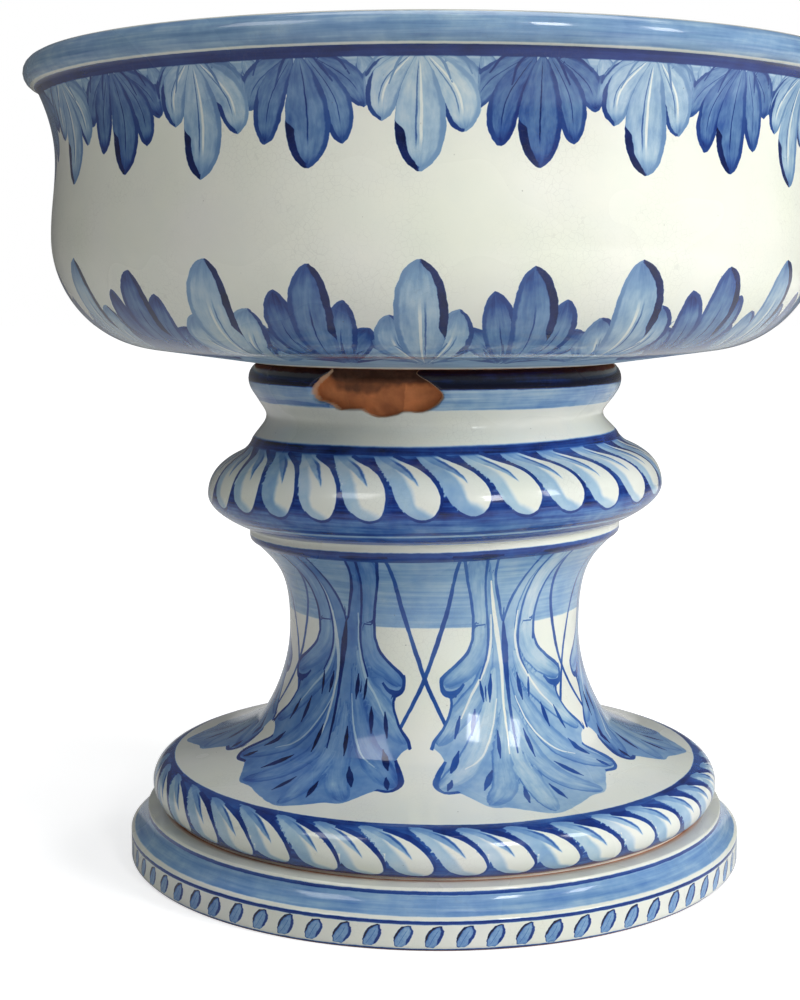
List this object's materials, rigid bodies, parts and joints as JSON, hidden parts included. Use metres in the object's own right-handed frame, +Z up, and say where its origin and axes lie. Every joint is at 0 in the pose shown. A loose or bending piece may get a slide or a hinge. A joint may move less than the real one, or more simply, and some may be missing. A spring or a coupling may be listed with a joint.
{
  "type": "vase on stand",
  "caption": "Wide round painted earthenware bowl with a rolled rim, resting loose on a turned stand with a collar, rounded moulding, narrow neck and moulded round base.",
  "frame": {"origin": "centre of the stand's base, on the floor", "axes": "+Z up along the axis that the vase and stand are turned about; -Y is the front, where the chip in the collar shows"},
  "size_m": [0.594, 0.5938, 0.5855],
  "materials": {
    "vase_glaze": "tin glaze painted in cobalt blue",
    "stand_glaze": "tin glaze painted in cobalt blue, chipped at the collar",
    "base_glaze": "tin glaze painted in cobalt blue",
    "plaster": "set plaster",
    "iron": "blackened wrought iron",
    "leather": "rough cut leather"
  },
  "bodies": {
    "stand": {"stand_stem": "stand_glaze", "stand_base": "base_glaze", "bed_ring": "plaster", "tie_rod": "iron", "top_pad": "leather", "top_plate": "iron", "top_nut": "iron", "bottom_pad": "leather", "bottom_plate": "iron", "bottom_nut": "iron"},
    "vase": {"vase": "vase_glaze"}
  },
  "joints": [
    {"name": "vase_lift", "type": "slide", "parent": "stand", "child": "vase", "axis": [0, 0, 1], "range_m": [0, 0.12]}
  ]
}
